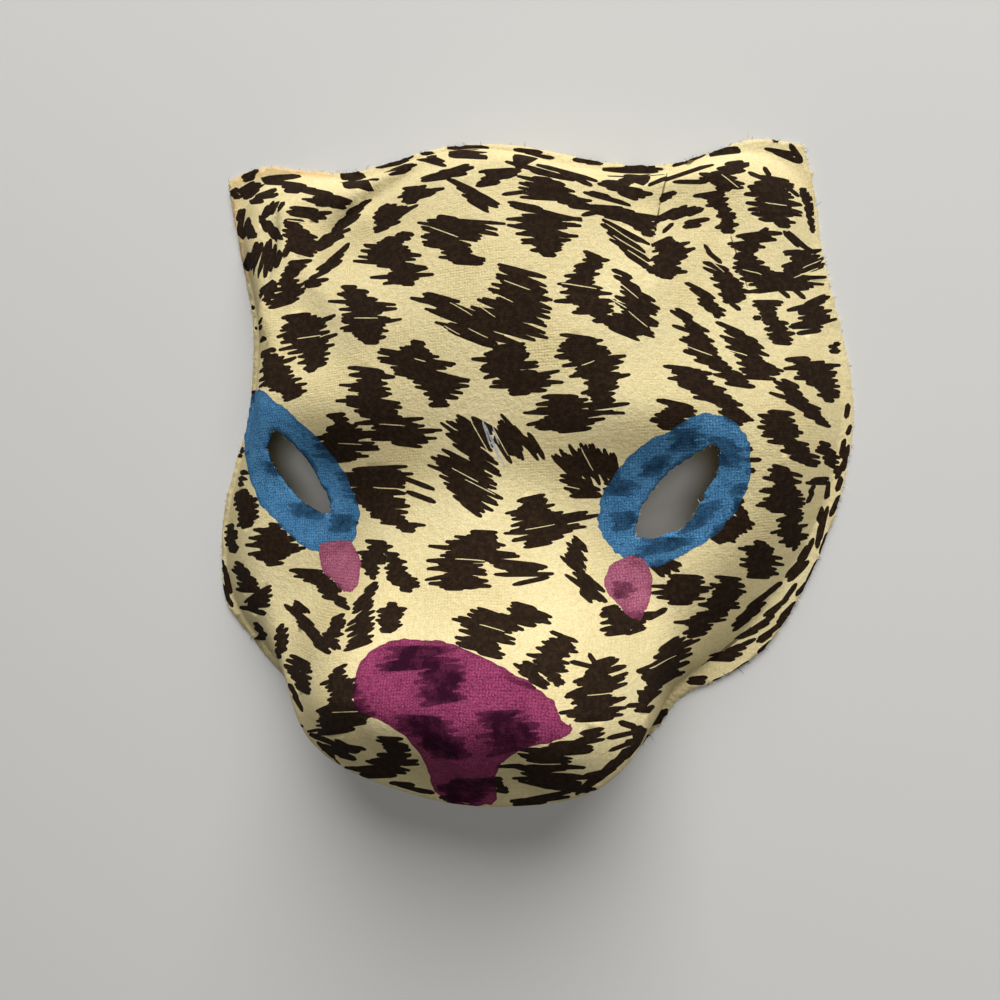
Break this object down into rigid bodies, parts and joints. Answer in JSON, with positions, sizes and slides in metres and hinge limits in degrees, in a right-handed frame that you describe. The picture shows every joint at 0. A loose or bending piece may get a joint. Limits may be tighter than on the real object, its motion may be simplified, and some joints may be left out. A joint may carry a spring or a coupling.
{
  "type": "animal face mask",
  "caption": "Moulded flannel cheetah face mask with raised muzzle, drawn-out ears, painted nose and ringed eye holes.",
  "frame": {"origin": "on the plane of the rim, under the middle of the mask's box", "axes": "+X to the viewer's right, +Y up the face towards the ears, +Z out of the face"},
  "size_m": [0.2129, 0.211, 0.0617],
  "materials": {
    "flannel": "printed cotton flannel, brushed nap, cream ground with dark brown spots, painted eyes and nose"
  },
  "bodies": {
    "root": {"mask_shell": "flannel"}
  },
  "joints": []
}
